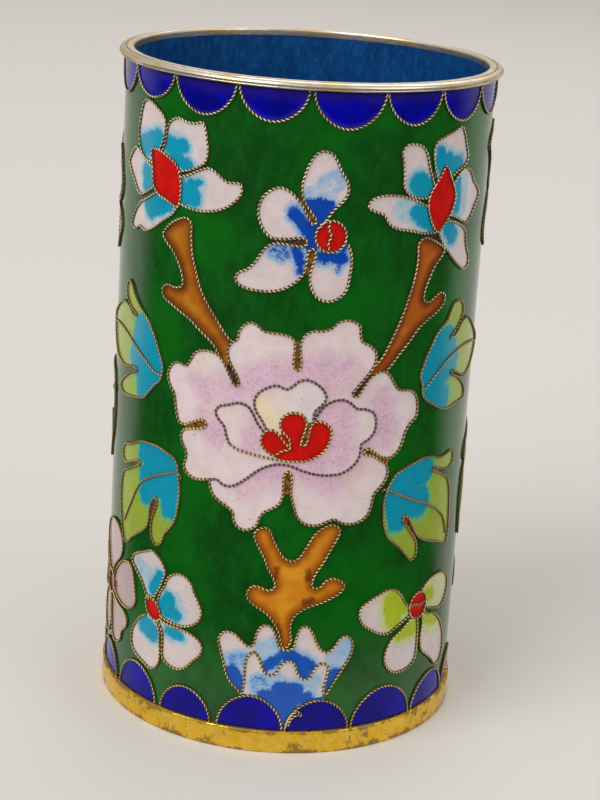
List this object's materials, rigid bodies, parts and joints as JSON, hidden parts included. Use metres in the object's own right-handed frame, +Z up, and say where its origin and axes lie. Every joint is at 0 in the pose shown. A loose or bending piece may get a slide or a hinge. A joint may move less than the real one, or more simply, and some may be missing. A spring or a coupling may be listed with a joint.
{
  "type": "brush pot",
  "caption": "Cylindrical cloisonne enamel brush pot with a metal mouth rim, a banded foot ring and raised wire flowers on a green ground; stands on a desk and holds brushes.",
  "frame": {"origin": "centre of the underside, on the surface that the pot stands on", "axes": "+Z up along the pot's axis, the flower spray faces -Y, +X to the viewer's right"},
  "size_m": [0.0676, 0.0676, 0.12],
  "materials": {
    "copper": "raised sheet copper, dull and oxidised where bare",
    "rim_metal": "gilt rim worn to a pale silvery gold, finely brushed",
    "foot_metal": "gilt band with brown tarnish spots and pits",
    "cell_wire": "two-strand twisted gilt wire, bright crowns and dark gaps",
    "ground_enamel": "opaque vitreous enamel, glossy mottled green",
    "border_enamel": "opaque vitreous enamel, glossy ultramarine",
    "lining_enamel": "opaque vitreous enamel, mottled deep blue",
    "petal_enamel": "opaque vitreous enamel, pinkish white shaded to the heart",
    "leaf_enamel": "opaque vitreous enamel, turquoise shaded to yellow green",
    "amber_enamel": "opaque vitreous enamel, amber with dark edges",
    "rock_enamel": "opaque vitreous enamel, cobalt shaded to white tips"
  },
  "bodies": {
    "root": {"copper_body": "copper", "base_plate": "copper", "mouth_rim": "rim_metal", "foot_ring": "foot_metal", "lining_enamel": "lining_enamel", "base_enamel": "lining_enamel", "ground_enamel": "ground_enamel", "upper_border_wire": "cell_wire", "lower_border_wire": "cell_wire", "upper_border_enamel": "border_enamel", "lower_border_enamel": "border_enamel", "peony_enamel": "petal_enamel", "peony_wire": "cell_wire", "prunus_left_enamel": "petal_enamel", "prunus_left_wire": "cell_wire", "prunus_right_enamel": "petal_enamel", "prunus_right_wire": "cell_wire", "blue_blossom_enamel": "petal_enamel", "blue_blossom_wire": "cell_wire", "small_blossom_left_enamel": "petal_enamel", "small_blossom_left_wire": "cell_wire", "small_blossom_right_enamel": "petal_enamel", "small_blossom_right_wire": "cell_wire", "side_blossom_enamel": "petal_enamel", "side_blossom_wire": "cell_wire", "leaf_upper_left_enamel": "leaf_enamel", "leaf_upper_left_wire": "cell_wire", "leaf_upper_right_enamel": "leaf_enamel", "leaf_upper_right_wire": "cell_wire", "leaf_lower_left_enamel": "leaf_enamel", "leaf_lower_left_wire": "cell_wire", "leaf_lower_right_enamel": "leaf_enamel", "leaf_lower_right_wire": "cell_wire", "branch_left_enamel": "amber_enamel", "branch_left_wire": "cell_wire", "branch_right_enamel": "amber_enamel", "branch_right_wire": "cell_wire", "trunk_enamel": "amber_enamel", "trunk_wire": "cell_wire", "rocks_enamel": "rock_enamel", "rocks_wire": "cell_wire"}
  },
  "joints": []
}
